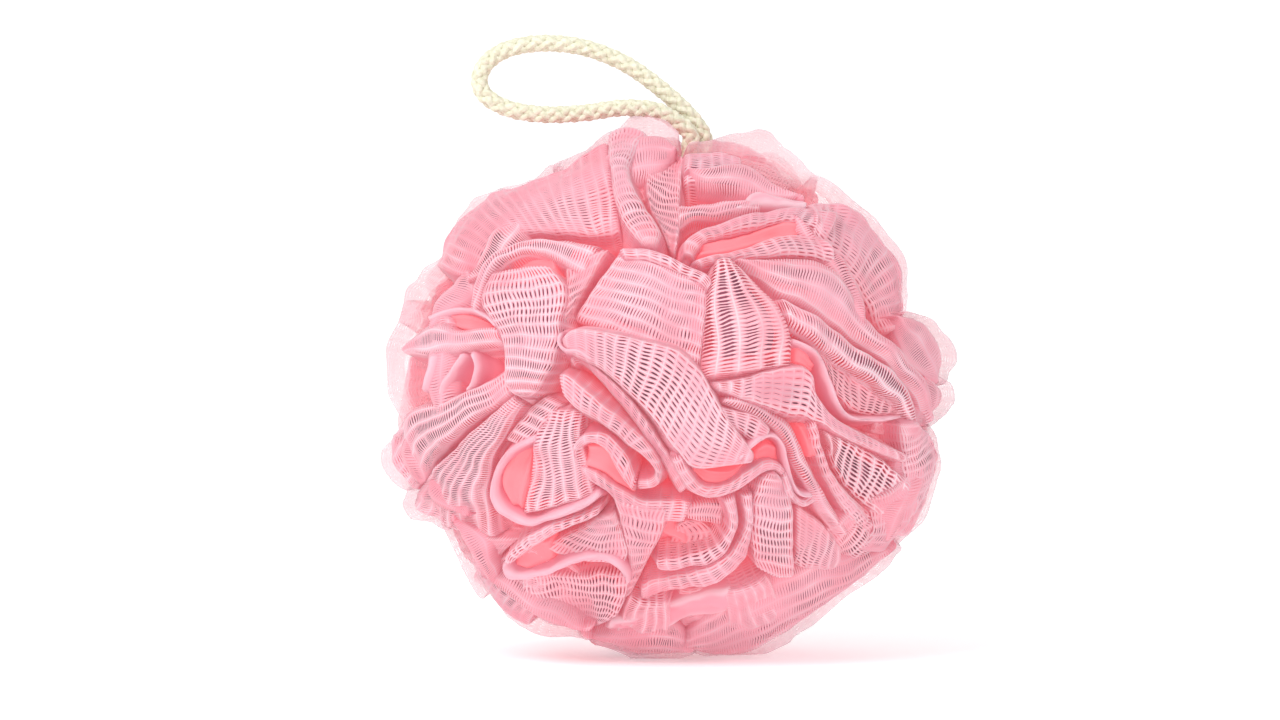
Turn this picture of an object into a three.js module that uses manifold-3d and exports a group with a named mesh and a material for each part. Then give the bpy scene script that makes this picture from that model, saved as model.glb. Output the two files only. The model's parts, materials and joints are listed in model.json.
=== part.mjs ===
// Mesh bath pouf: a ball of gathered tubular netting tied at its waist, with a cotton cord to hang it by.
// Millimetres, +Z up, the front faces -Y. Each piece is worked out about the centre of the ball, where the
// netting is tied, and the whole then stands on the floor, with the origin under the centre.
import * as THREE from "three";
import { mergeVertices } from "three/addons/utils/BufferGeometryUtils.js";
import Module from "manifold-3d";

const wasm = await Module();
wasm.setup();

// ---------------------------------------------------------------- driving dimensions
const BALL_HALF = new THREE.Vector3(75, 68, 72); // half width, half depth and half height of the netting ball
const FOOT_DEPTH = 69; // the flat that the ball rests on lies this far below the centre
const SQUEEZE = 10; // how far every ruffle gives towards the core when the ball is squeezed
const CLEARANCE = 0.4; // between neighbouring pieces
const CORE_RADIUS = 18; // the tied core stays inside this radius
const PILLOW = 0.07; // how much a ruffle falls off from its crown to its edge, as a share of its radius

const RING_COUNT = 7; // ruffles in the front rosette round its centre one, and in the rear rosette
const RING_ANGLE = 45; // degrees between the front (or rear) direction and that ring
const SIDE_COUNT = 12; // ruffles of the middle length of netting, round the rim

const ROPE_RADIUS = 2.4;
const ROPE_TILT = 6.5; // degrees that the cord's way out of the ball leans towards +X
const LEG_X = 1.8; // each leg of the cord stands this far from the cord's axis across the ball
const LEG_Y = 1.9; // and this far in front of or behind it
const THROAT_AT = 61; // distance from the centre to the bend where the cord leaves the netting
const NECK_AT = 67.5; // and to the bend just outside it
const THROAT_SWING = 45; // degrees at each of those two bends
const TOP_RUFFLE_RADIUS = 57; // the ruffle that the cord comes through is shorter than the others

// The tied core, measured along the cord's axis from the centre.
const WAIST = { low: -1.5, mid: 7, high: 14, thin: 7.6, wide: 9.6 };
const TWINE = { radius: 0.9, pitch: 2.2, turns: 2.5 };
const KNOT = { at: -8.4, radius: 4.9, tube: 2.25 };
const TAIL_LENGTH = 3.4;

// The hanging loop's centre line outside the ball, as x, y, z. It leaves by the front leg, runs left,
// turns at its far end and comes back over itself to the rear leg.
const LOOP_OUT = [
  [2.6, -1.9, 70.4],
  [-3.2, -1.7, 73.6],
  [-12, -1.4, 74.3],
  [-22, -1.1, 73.0],
  [-32, -0.8, 72.6],
  [-41, -0.5, 73.9],
  [-47.4, -0.2, 77.2],
  [-49.4, 0, 81.7],
];
const LOOP_BACK = [
  [-47.2, 0.2, 86.5],
  [-41.4, 0.5, 90.0],
  [-32.2, 0.8, 91.4],
  [-21.7, 1.2, 90.2],
  [-11.3, 1.5, 86.1],
  [-2.1, 1.8, 79.7],
  [5.6, 1.9, 72.6],
];
const NOD = { at: new THREE.Vector3(-7.5, 0, 79), swing: 40 }; // the loop nods forwards and back here
const FOLD = { at: new THREE.Vector3(-29, 0, 82), swing: 55 }; // and its far end folds here
const FAR_FLAT = { drop: 0.7, half: 2.2 }; // the worn flat inside the loop's far end, where a hook bears

// ---------------------------------------------------------------- materials
const finish = (color, roughness) => new THREE.MeshStandardMaterial({ color, roughness, metalness: 0 });
const pinkNet = finish(0xf7a9b8, 0.55);
const deepNet = finish(0xf07f8c, 0.6);
const cotton = finish(0xf3eddc, 0.9);
const whiteTwine = finish(0xf6f4ee, 0.5);

// ---------------------------------------------------------------- solids
const radians = THREE.MathUtils.degToRad;
const X = new THREE.Vector3(1, 0, 0);
const Y = new THREE.Vector3(0, 1, 0);
const Z = new THREE.Vector3(0, 0, 1);
const CENTRE = new THREE.Vector3(0, 0, 0);

function solidOf(geometry) {
  const bare = geometry.clone();
  bare.deleteAttribute("normal");
  bare.deleteAttribute("uv");
  const merged = mergeVertices(bare, 1e-4);
  return new wasm.Manifold(
    new wasm.Mesh({
      numProp: 3,
      vertProperties: merged.attributes.position.array,
      triVerts: new Uint32Array(merged.index.array),
    }),
  );
}

function geometryOf(solid) {
  const { vertProperties, triVerts } = solid.getMesh();
  const indexed = new THREE.BufferGeometry();
  indexed.setAttribute("position", new THREE.BufferAttribute(vertProperties, 3));
  indexed.setIndex(new THREE.BufferAttribute(triVerts, 1));
  const flat = indexed.toNonIndexed();
  flat.computeVertexNormals();
  return flat;
}

function piece(name, geometry, material, position = new THREE.Vector3()) {
  const mesh = new THREE.Mesh(geometry, material);
  mesh.name = name;
  mesh.position.copy(position);
  return mesh;
}

// Keeps what lies more than offset beyond the plane through point, on the side its normal points to.
function keepBeyond(solid, normal, point, offset) {
  return solid.trimByPlane(normal.toArray(), normal.dot(point) + offset);
}

// ---------------------------------------------------------------- ruffles
// A direction from the centre: tilt from the front (-Y) and turn round the ball's face from +X towards +Z.
function outward(tilt, turn) {
  const across = Math.sin(radians(tilt));
  return new THREE.Vector3(
    across * Math.cos(radians(turn)),
    -Math.cos(radians(tilt)),
    across * Math.sin(radians(turn)),
  );
}

function ruffleDirections() {
  const found = [];
  const ringStep = 360 / RING_COUNT;
  found.push({ name: "front_ruffle_centre", way: outward(0, 0) });
  for (let k = 0; k < RING_COUNT; k++)
    found.push({ name: `front_ruffle_${k + 1}`, way: outward(RING_ANGLE, 90 + k * ringStep) });
  for (let k = 0; k < SIDE_COUNT; k++)
    found.push({
      name: `side_ruffle_${k + 1}`,
      way: outward(90, 90 - ROPE_TILT + (k * 360) / SIDE_COUNT),
    });
  for (let k = 0; k < RING_COUNT; k++)
    found.push({ name: `rear_ruffle_${k + 1}`, way: outward(180 - RING_ANGLE, -90 + k * ringStep) });
  found.push({ name: "rear_ruffle_centre", way: outward(180, 0) });
  return found;
}

const ruffles = ruffleDirections();
const ropeRuffle = ruffles.find(({ name }) => name === "side_ruffle_1");
const ropeAxis = ropeRuffle.way;

// The ball's outer surface, crowned over each ruffle, as one solid that the ruffles are cut from.
function crownedBall(half) {
  const ball = new THREE.IcosahedronGeometry(1, 10);
  const points = ball.attributes.position;
  const point = new THREE.Vector3();
  const cellAngle = radians(RING_ANGLE / 2);
  for (let i = 0; i < points.count; i++) {
    point.fromBufferAttribute(points, i).normalize();
    const off = Math.min(...ruffles.map(({ way }) => way.angleTo(point)));
    point.multiplyScalar(1 - PILLOW * Math.min(1, off / cellAngle) ** 2).multiply(half);
    points.setXYZ(i, point.x, point.y, point.z);
  }
  return solidOf(ball);
}

function stadium(halfStraight, radius) {
  const shape = new THREE.Shape();
  shape.absarc(halfStraight, 0, radius, -Math.PI / 2, Math.PI / 2);
  shape.absarc(-halfStraight, 0, radius, Math.PI / 2, (3 * Math.PI) / 2);
  return shape;
}

// The passage that both legs of the cord run through, centred on the cord's axis.
function ropePassage(length, clearance) {
  const halfStraight = Math.hypot(LEG_X, LEG_Y);
  const passage = new THREE.ExtrudeGeometry(stadium(halfStraight, ROPE_RADIUS + clearance), {
    depth: length,
    bevelEnabled: false,
    curveSegments: 8,
  });
  passage.translate(0, 0, -length / 2);
  return solidOf(passage.rotateZ(Math.atan2(LEG_Y, LEG_X)));
}

function ruffle({ name, way }, ball, hollow) {
  let cell = name === ropeRuffle.name ? ball.short : ball.full;
  for (const other of ruffles) {
    if (other.name === name) continue;
    const normal = way.clone().sub(other.way).normalize();
    cell = keepBeyond(cell, normal, CENTRE, way.dot(normal) * SQUEEZE + CLEARANCE / 2);
  }
  cell = cell.subtract(hollow);
  if (name === ropeRuffle.name) {
    const passage = ropePassage(2 * BALL_HALF.z, 2 * CLEARANCE);
    cell = cell.subtract(passage.rotate([0, ROPE_TILT, 0]));
  }
  cell = keepBeyond(cell, Z, CENTRE, -FOOT_DEPTH);
  return piece(name, geometryOf(cell), pinkNet);
}

function ruffleGroup() {
  const group = new THREE.Group();
  const ball = {
    full: crownedBall(BALL_HALF),
    short: crownedBall(new THREE.Vector3().setScalar(TOP_RUFFLE_RADIUS)),
  };
  const hollow = solidOf(new THREE.IcosahedronGeometry(CORE_RADIUS + SQUEEZE + 2 * CLEARANCE, 4));
  for (const one of ruffles) group.add(ruffle(one, ball, hollow));
  return group;
}

// ---------------------------------------------------------------- tied core
function nettingWaist() {
  const { low, mid, high, thin, wide } = WAIST;
  const outline = new THREE.SplineCurve([
    new THREE.Vector2(wide, low),
    new THREE.Vector2(thin, mid - TWINE.pitch),
    new THREE.Vector2(thin, mid + TWINE.pitch),
    new THREE.Vector2(wide, high),
  ]).getPoints(8);
  const profile = [new THREE.Vector2(0, low), ...outline, new THREE.Vector2(0, high)];
  const spool = solidOf(new THREE.LatheGeometry(profile, 24).rotateX(Math.PI / 2));
  return piece("netting_waist", geometryOf(spool.subtract(ropePassage(4 * high, CLEARANCE))), deepNet);
}

class Helix extends THREE.Curve {
  constructor(radius, pitch, turns) {
    super();
    Object.assign(this, { radius, pitch, turns });
  }
  getPoint(t, target = new THREE.Vector3()) {
    const angle = 2 * Math.PI * this.turns * t;
    const rise = this.pitch * this.turns * (t - 0.5);
    return target.set(this.radius * Math.cos(angle), this.radius * Math.sin(angle), rise);
  }
}

function disc(radius, sides) {
  const shape = new THREE.Shape();
  for (let k = 0; k < sides; k++) {
    const angle = (2 * Math.PI * (k + 0.5)) / sides;
    shape[k ? "lineTo" : "moveTo"](radius * Math.cos(angle), radius * Math.sin(angle));
  }
  return shape;
}

function cordAlong(path, radius, sides, steps) {
  return new THREE.ExtrudeGeometry(disc(radius, sides), { steps, extrudePath: path, bevelEnabled: false });
}

function bindingTwine() {
  const coilRadius = WAIST.thin + TWINE.radius + CLEARANCE;
  const coil = new Helix(coilRadius, TWINE.pitch, TWINE.turns);
  return piece("binding_twine", cordAlong(coil, TWINE.radius, 6, 50).translate(0, 0, WAIST.mid), whiteTwine);
}

function twineKnot() {
  const reach = WAIST.thin + 4 * TWINE.radius + 2 * CLEARANCE;
  const knot = new THREE.TorusKnotGeometry(1.9 * TWINE.radius, 0.8 * TWINE.radius, 48, 6);
  return piece("twine_knot", knot.rotateX(Math.PI / 2), whiteTwine, new THREE.Vector3(0, -reach, WAIST.mid));
}

function ropeKnot() {
  const knot = new THREE.TorusKnotGeometry(KNOT.radius, KNOT.tube, 54, 8);
  return piece("rope_knot", knot, cotton, new THREE.Vector3(0, 0, KNOT.at));
}

function straightCord(length) {
  return new THREE.CylinderGeometry(ROPE_RADIUS, ROPE_RADIUS, length, 12).rotateX(Math.PI / 2);
}

function ropeTail(side, label) {
  const top = KNOT.at - KNOT.radius / 2 - KNOT.tube - CLEARANCE;
  const middle = new THREE.Vector3(side * LEG_X, side * LEG_Y, top - TAIL_LENGTH / 2);
  return piece(`rope_tail_${label}`, straightCord(TAIL_LENGTH), cotton, middle);
}

// A leg of the cord inside the ball, from the knot to the throat. The swing's open side is relieved.
function ropeLeg(side, label) {
  const low = KNOT.at + KNOT.radius / 2 + KNOT.tube + CLEARANCE;
  const length = THROAT_AT + ROPE_RADIUS * 2 - low;
  const cord = straightCord(length).translate(side * LEG_X, side * LEG_Y, low + length / 2);
  const bend = { at: new THREE.Vector3(0, 0, THROAT_AT), axis: Y, along: Z, least: 0, most: THROAT_SWING };
  return piece(`rope_leg_${label}`, geometryOf(endBefore(solidOf(cord), bend)), cotton);
}

function coreGroup() {
  const group = new THREE.Group();
  group.rotation.y = radians(ROPE_TILT);
  group.add(nettingWaist(), bindingTwine(), twineKnot(), ropeKnot());
  group.add(ropeTail(-1, "front"), ropeTail(1, "rear"));
  group.add(ropeLeg(-1, "front"), ropeLeg(1, "rear"));
  return group;
}

// ---------------------------------------------------------------- bends in the cord
// A bend is a hinge through `at` about `axis`. The cord runs through it in the direction `along`, and turns
// from `least` to `most` degrees. Each side is cut back by half of each turn, so that the ends never meet.
function relief(bend, side) {
  return [bend.least, bend.most].map((turn) =>
    bend.along.clone().applyAxisAngle(bend.axis, (side * radians(turn)) / 2),
  );
}

function endBefore(solid, bend) {
  return relief(bend, 1).reduce(
    (cut, normal) => keepBeyond(cut, normal.negate(), bend.at, CLEARANCE / 2),
    solid,
  );
}

function startAfter(solid, bend) {
  return relief(bend, -1).reduce(
    (cut, normal) => keepBeyond(cut, normal, bend.at, CLEARANCE / 2),
    solid,
  );
}

const ropeSide = X.clone().applyAxisAngle(Y, radians(ROPE_TILT));
const loopWay = FOLD.at.clone().sub(NOD.at).normalize();
const loopAcross = Y.clone().cross(loopWay).normalize();
const onRopeAxis = (distance) => ropeAxis.clone().multiplyScalar(distance);

const BENDS = {
  throat: { at: onRopeAxis(THROAT_AT), axis: Y, along: ropeAxis, least: 0, most: THROAT_SWING },
  neck: { at: onRopeAxis(NECK_AT), axis: Y, along: ropeAxis, least: 0, most: THROAT_SWING },
  nod: { at: NOD.at, axis: loopAcross, along: loopWay, least: -NOD.swing, most: NOD.swing },
  fold: { at: FOLD.at, axis: loopAcross, along: loopWay, least: -FOLD.swing, most: FOLD.swing },
};

function legPoint(side, distance) {
  return onRopeAxis(distance).addScaledVector(ropeSide, side * LEG_X).addScaledVector(Y, side * LEG_Y);
}

// The whole cord outside the ball, from the front leg round the loop to the rear leg.
const loopCurve = new THREE.CatmullRomCurve3(
  [
    legPoint(-1, THROAT_AT - 2 * ROPE_RADIUS),
    legPoint(-1, THROAT_AT + ROPE_RADIUS),
    legPoint(-1, NECK_AT),
    ...[...LOOP_OUT, ...LOOP_BACK].map((point) => new THREE.Vector3(...point)),
    legPoint(1, NECK_AT),
    legPoint(1, THROAT_AT + ROPE_RADIUS),
    legPoint(1, THROAT_AT - 2 * ROPE_RADIUS),
  ],
  false,
  "centripetal",
);

// A stretch of a longer curve, between two shares of its length.
class Stretch extends THREE.Curve {
  constructor(whole, from, to) {
    super();
    Object.assign(this, { whole, from, to });
  }
  getPoint(t, target = new THREE.Vector3()) {
    return this.whole.getPointAt(THREE.MathUtils.lerp(this.from, this.to, t), target);
  }
}

// Where, as a share of its length, the curve passes through a bend's plane between two shares.
function crossing(bend, from, to) {
  const beyond = (share) => loopCurve.getPointAt(share).sub(bend.at).dot(bend.along) > 0;
  const startsBeyond = beyond(from);
  let [low, high] = [from, to];
  for (let k = 0; k < 40; k++) {
    const middle = (low + high) / 2;
    if (beyond(middle) === startsBeyond) low = middle;
    else high = middle;
  }
  return low;
}

const OVERRUN = (3 * ROPE_RADIUS) / loopCurve.getLength();
const MM_PER_STEP = 3;

function stretchSolid(from, to) {
  const start = Math.max(0, from - OVERRUN);
  const end = Math.min(1, to + OVERRUN);
  const steps = Math.ceil(((end - start) * loopCurve.getLength()) / MM_PER_STEP);
  return solidOf(cordAlong(new Stretch(loopCurve, start, end), ROPE_RADIUS, 12, steps));
}

// The flat inside the loop's far end: the cord is pressed flat where it hangs on a hook.
function pressFlat(solid, farPoint, inward) {
  const floor = farPoint.clone().addScaledVector(inward, ROPE_RADIUS - FAR_FLAT.drop);
  const slab = new THREE.BoxGeometry(2 * ROPE_RADIUS, 4 * ROPE_RADIUS, 2 * FAR_FLAT.half);
  slab.applyQuaternion(new THREE.Quaternion().setFromUnitVectors(X, inward));
  const centre = floor.addScaledVector(inward, ROPE_RADIUS);
  return solid.subtract(solidOf(slab.translate(centre.x, centre.y, centre.z)));
}

function ropeGroup() {
  const { throat, neck, nod, fold } = BENDS;
  const middle = 0.5;
  const chain = [throat, neck, nod, fold];
  const outShares = [];
  const backShares = [];
  let [low, high] = [0, 1];
  for (const bend of chain) {
    low = crossing(bend, low, Math.min(middle, low + 0.25));
    high = crossing(bend, high, Math.max(middle, high - 0.25));
    outShares.push(low);
    backShares.push(high);
  }
  const group = new THREE.Group();
  ["throat", "neck", "loop"].forEach((name, k) => {
    const between = (solid) => geometryOf(endBefore(startAfter(solid, chain[k]), chain[k + 1]));
    const front = stretchSolid(outShares[k], outShares[k + 1]);
    const rear = stretchSolid(backShares[k + 1], backShares[k]);
    group.add(piece(`rope_${name}_front`, between(front), cotton));
    group.add(piece(`rope_${name}_rear`, between(rear), cotton));
  });
  const far = stretchSolid(outShares[3], backShares[3]);
  const farPoint = new THREE.Vector3(...LOOP_OUT.at(-1));
  const flattened = pressFlat(startAfter(far, fold), farPoint, loopWay.clone().negate());
  group.add(piece("rope_loop_end", geometryOf(flattened), cotton));
  return group;
}

// ---------------------------------------------------------------- assembly
const pouf = new THREE.Group();
pouf.add(ruffleGroup(), coreGroup(), ropeGroup());
pouf.position.z = FOOT_DEPTH;

export default pouf;
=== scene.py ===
"""The looks of the mesh bath pouf: real open netting folded into ruffles, and a braided cotton cord.

Shapes are worked out in millimetres about the centre of the ball, and turned into metres in the frame of
the CAD model when a mesh is made. The front faces -Y.
"""

import json
import math

import bmesh
import bpy
import numpy as np
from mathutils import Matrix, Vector


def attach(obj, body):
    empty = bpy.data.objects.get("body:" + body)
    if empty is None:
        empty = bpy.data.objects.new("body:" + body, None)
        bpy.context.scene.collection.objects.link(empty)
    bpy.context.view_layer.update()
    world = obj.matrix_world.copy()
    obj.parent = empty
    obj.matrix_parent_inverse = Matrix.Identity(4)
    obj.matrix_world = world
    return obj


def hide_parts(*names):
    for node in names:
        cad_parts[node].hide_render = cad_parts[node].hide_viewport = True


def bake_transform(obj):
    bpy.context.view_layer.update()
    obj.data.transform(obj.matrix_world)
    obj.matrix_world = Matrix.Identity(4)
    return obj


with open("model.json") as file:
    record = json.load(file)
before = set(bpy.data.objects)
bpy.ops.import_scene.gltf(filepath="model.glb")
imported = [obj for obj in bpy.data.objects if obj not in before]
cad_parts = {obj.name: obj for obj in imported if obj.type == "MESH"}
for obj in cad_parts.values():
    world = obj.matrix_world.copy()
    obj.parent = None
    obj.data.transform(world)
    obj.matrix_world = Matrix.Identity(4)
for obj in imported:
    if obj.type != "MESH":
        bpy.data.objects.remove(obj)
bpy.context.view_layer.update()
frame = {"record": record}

MM = 0.001
BALL = np.array([75.0, 68.0, 72.0])  # half width, half depth and half height of the ball
FLOOR = -69.0  # the ball's foot, and the floor under it
CENTRE = np.array([0.0, 0.0, -FLOOR])  # the ball's centre in the CAD model's frame
CAMERA_AT = np.array([-7.33, -931.0, 8.38])
CAMERA_LENS = 100.0

SLIT_PITCH = 2.9  # along the slits of the netting
STRAND_PITCH = 0.7  # across them
ROWS = 3  # each slit spans this many rows of the netting's grid
SLIT_TIP = 0.35  # a slit's tips are this share of a row inside its first and last row
CLOSED_SLIT, OPEN_SLIT = 0.08, 0.38  # the share of its strand pitch that a slit takes
WIDEST_STRAND = 0.95  # where the strands are further apart than this, the slits don't widen with them
SUNK = 0.12  # how far the netting dips at the slits
STRAND_HIGHLIGHT = 2.3  # the strands beside an open slit get a painted highlight, by this times the slit's share

LIP, LIP_INSET = 0.4, 0.9  # how far the edge of a fold stands proud, and how far in from it that is
SPLAY = 0.4  # how far the sides of a fold lean out as they go down
WALL = 13.0  # how far the side of a fold reaches in towards the core
NARROWEST = 0.8  # the least width of a fold
HIGHLIGHT_RIM = 1.5  # the width of the painted highlight on the rim of a fold
HIGHLIGHT_DEPTH = 3.0  # how far down the side of a fold its raised painted highlight reaches
ON_TOP = 0.6  # a sheet standing for the netting's second layer, dark as painted shade, lies under the part of a fold that is less than this below its top
INNERMOST = 40.0  # the least distance of a fold from the ball's centre
OFF_FLOOR = 0.3  # and from the floor
# Unevenness: how much, and over what length.
BUMPS, CRINKLES = (0.6, 17), (0.25, 6)  # of a fold's height
PULLS = (0.5, 14), (0.3, 6)  # along the netting and across it
GAPES, SMALL_GAPES = (0.5, 21), (0.25, 5)  # of how far the slits open
MORE_GAPE, WIDEST_GAPE = 0.12, 1.1  # what every fold gapes more than it says, and the most it can

INNER_BALL = 0.82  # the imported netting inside, as a share of the ball
LUMPS, SMALL_LUMPS = (0.05, 26), (0.02, 9)  # its unevenness, as a share of its size


# ---- small mathematics
def unit(v):
    v = np.asarray(v, float)
    return v / np.maximum(np.linalg.norm(v, axis=-1, keepdims=True), 1e-9)


def outward(points):
    """The ball's outward direction at each point."""
    return unit(points / BALL**2)


def ripple(points, height, wavelength, seed):
    """Smooth noise of about the given height, which changes over the given wavelength."""
    rng = np.random.default_rng(seed)
    total = np.zeros(points.shape[:-1])
    waves = 7
    for _ in range(waves):
        direction = unit(rng.normal(size=3)) * rng.uniform(0.7, 1.4)
        phase = rng.uniform(0, 2 * math.pi)
        total += np.sin(points @ direction * 2 * math.pi / wavelength + phase)
    return height * total / math.sqrt(waves)


def smooth_path(points):
    """A dense Catmull-Rom line through the points, and the distance run along it."""
    points = np.asarray(points, float)
    ends = np.vstack([2 * points[0] - points[1], points, 2 * points[-1] - points[-2]])
    steps_between = 24
    t = np.linspace(0, 1, steps_between, endpoint=False)[:, None]
    dense = []
    for p0, p1, p2, p3 in zip(ends, ends[1:], ends[2:], ends[3:]):
        cubic = 3 * p1 - p0 - 3 * p2 + p3
        square = 2 * p0 - 5 * p1 + 4 * p2 - p3
        dense.append(0.5 * (2 * p1 + (p2 - p0) * t + square * t**2 + cubic * t**3))
    dense = np.vstack(dense + [points[-1:]])
    steps = np.linalg.norm(np.diff(dense, axis=0), axis=1)
    return dense, np.concatenate([[0], np.cumsum(steps)])


def along_path(path, run, at):
    return np.column_stack([np.interp(at, run, path[:, k]) for k in range(3)])


def grid_normals(grid):
    return unit(np.cross(np.gradient(grid, axis=0), np.gradient(grid, axis=1)))


def in_frame(point):
    """A point about the ball's centre, in metres in the CAD model's frame."""
    return (np.asarray(point) + CENTRE) * MM


# ---- meshes
class Sheets:
    """Collects vertices and faces for one mesh, each batch with the number of its material.

    Every vertex has tints for its material, each a place where light or shade is painted: the first is 1
    where a painted highlight lies, on a fold's rim and on strands beside open slits; the second is 1 where
    painted shade darkens a fold that turns down beside its neighbour; the third is 1 far down inside a
    fold, where painted coral shade and a painted glow lie.
    """

    TINTS = ("edge", "crease_shade", "painted_deep")

    def __init__(self):
        self.points, self.faces, self.materials, self.tints, self.count = [], [], [], [], 0

    def add(self, points, faces, material, tints=0.0):
        points = points.reshape(-1, 3)
        self.tints.append(np.broadcast_to(tints, (len(points), len(self.TINTS))))
        for polygons in faces:
            if len(polygons):
                self.faces.append(np.asarray(polygons) + self.count)
                self.materials.append(material)
        self.points.append(points)
        self.count += len(points)

    def add_grid(self, grid, material, tints=0.0):
        index = np.arange(grid.shape[0] * grid.shape[1]).reshape(grid.shape[:2])
        quads = np.stack([index[:-1, :-1], index[1:, :-1], index[1:, 1:], index[:-1, 1:]], -1)
        self.add(grid, [quads.reshape(-1, 4)], material, tints)

    def build(self, name, materials):
        mesh = bpy.data.meshes.new(name)
        corners = np.concatenate([f.ravel() for f in self.faces])
        sizes = np.concatenate([np.full(len(f), f.shape[1]) for f in self.faces])
        kinds = np.concatenate([np.full(len(f), m) for f, m in zip(self.faces, self.materials)])
        points = (np.concatenate(self.points) + CENTRE) * MM
        mesh.vertices.add(len(points))
        mesh.vertices.foreach_set("co", points.astype(np.float32).ravel())
        mesh.loops.add(len(corners))
        mesh.loops.foreach_set("vertex_index", corners.astype(np.int32))
        mesh.polygons.add(len(sizes))
        starts = np.concatenate([[0], np.cumsum(sizes)[:-1]])
        mesh.polygons.foreach_set("loop_start", starts.astype(np.int32))
        mesh.polygons.foreach_set("material_index", kinds.astype(np.int32))
        mesh.polygons.foreach_set("use_smooth", np.ones(len(sizes), bool))
        for material in materials:
            mesh.materials.append(material)
        for tint, values in zip(self.TINTS, np.concatenate(self.tints).T):
            attribute = mesh.attributes.new(tint, "FLOAT", "POINT")
            attribute.data.foreach_set("value", values.astype(np.float32))
        mesh.update(calc_edges=True)
        built = bpy.data.objects.new(mesh.name, mesh)
        bpy.context.collection.objects.link(built)
        return built


# ---- netting
def net(sheets, grid, opening, material, tints):
    """Lays netting over a grid of points: bands of slits side by side, which run along the first axis.

    opening gives the share of the netting's width that a slit takes, and 0 where there is none.
    """
    bands = (grid.shape[0] - 1) // ROWS
    grid, tints = grid[: bands * ROWS + 1], tints[: bands * ROWS + 1]
    flat, tints = grid.reshape(-1, 3), tints.reshape(-1, tints.shape[-1])
    index = np.arange(len(flat)).reshape(grid.shape[:2])
    band, column = np.meshgrid(np.arange(bands) * ROWS, np.arange(grid.shape[1] - 1), indexing="ij")
    left = [index[band + k, column].ravel() for k in range(ROWS + 1)]
    right = [index[band + k, column + 1].ravel() for k in range(ROWS + 1)]
    share = opening(flat)
    slit = share[left[1]] > 0
    plain = ~slit
    quads = [np.stack([left[k], right[k], right[k + 1], left[k + 1]], 1)[plain] for k in range(ROWS)]
    left, right = [ends[slit] for ends in left], [ends[slit] for ends in right]
    middle = [(flat[a] + flat[b]) / 2 for a, b in zip(left, right)]
    across = [flat[b] - flat[a] for a, b in zip(left, right)]
    stretch = [np.maximum(1, np.linalg.norm(way, axis=1) / WIDEST_STRAND) for way in across]
    aside = [way * (share[left[1]] / stretched / 2)[:, None] for way, stretched in zip(across, stretch)]
    near, far = 1 - SLIT_TIP, SLIT_TIP
    around = [middle[0] * near + middle[1] * far, middle[1] - aside[1], middle[1] + aside[1]]
    around += [middle[2] - aside[2], middle[2] + aside[2], middle[2] * far + middle[3] * near]
    sunk = grid_normals(grid).reshape(-1, 3)[left[1]] * SUNK
    corners = len(around)
    top, l1, r1, l2, r2, bottom = len(flat) + np.arange(len(sunk) * corners).reshape(-1, corners).T
    quads += [np.stack(q, 1) for q in (
        (left[0], top, l1, left[1]), (left[1], l1, l2, left[2]), (left[2], l2, bottom, left[3]),
        (right[0], right[1], r1, top), (right[1], right[2], r2, r1), (right[2], right[3], bottom, r2))]
    triangles = [np.stack(t, 1) for t in ((left[0], right[0], top), (left[3], bottom, right[3]))]
    holes = np.stack([point - sunk for point in around], 1).reshape(-1, 3)
    # a painted highlight on the strands beside an open slit
    pale = np.maximum(tints[:, 0], STRAND_HIGHLIGHT * share)
    strands = np.column_stack([pale, tints[:, 1:]])
    less_highlight, more_painted_deep = (0.3, 1, 1), (0, 0, 0.3)  # the rims of the slits, beside the strands: less painted highlight, more painted coral shade and glow
    rims = np.minimum(1, tints[np.repeat(left[1], corners)] * less_highlight + more_painted_deep)
    sheets.add(np.concatenate([flat, holes]), triangles + quads, material, np.vstack([strands, rims]))


def rounded(run, length, roll):
    """A sheet goes up a sloping wall, over a rounded edge, along the top and down again. After `run` from
    the foot of the first edge, it is this far across the top, and this far below it."""
    arc = roll * math.pi / 2
    total = length - 2 * roll + 2 * arc
    near = np.minimum(run, total - run)
    angle = np.clip(near / roll, 0, math.pi / 2)
    across = roll * (1 - np.cos(angle)) + np.maximum(0, near - arc) + SPLAY * np.minimum(0, near)
    drop = roll * (1 - np.sin(angle)) + np.maximum(0, -near)
    return np.where(run > total / 2, length - across, across), drop


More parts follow.
